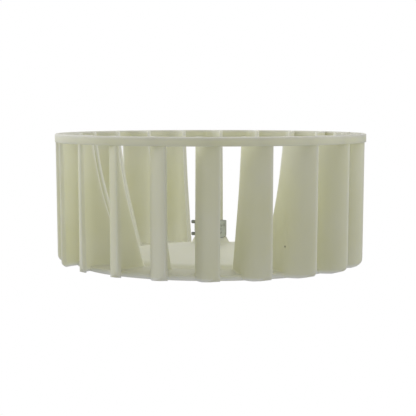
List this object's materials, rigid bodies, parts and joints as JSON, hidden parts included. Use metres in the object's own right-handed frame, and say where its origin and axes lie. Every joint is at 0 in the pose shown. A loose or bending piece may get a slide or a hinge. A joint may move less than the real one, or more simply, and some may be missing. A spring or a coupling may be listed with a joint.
{
  "type": "dryer blower wheel",
  "caption": "Squirrel-cage blower wheel: bowed blades between a dished back plate and a mouth ring, with a split hub squeezed on its shaft by a forked spring band clamp.",
  "frame": {"origin": "on the wheel's axis, in the plane of the back plate's underside that the wheel stands on", "axes": "+Z is the wheel's axis, from the closed back plate to the open mouth, and -Y is the side that the picture shows"},
  "size_m": [0.197, 0.197, 0.0825],
  "materials": {
    "wheel_plastic": "moulded ivory plastic, satin, slightly translucent",
    "clamp_steel": "spring steel strip, dull grey"
  },
  "bodies": {
    "root": {"blower_wheel": "wheel_plastic", "hub_clamp": "clamp_steel"}
  },
  "joints": []
}
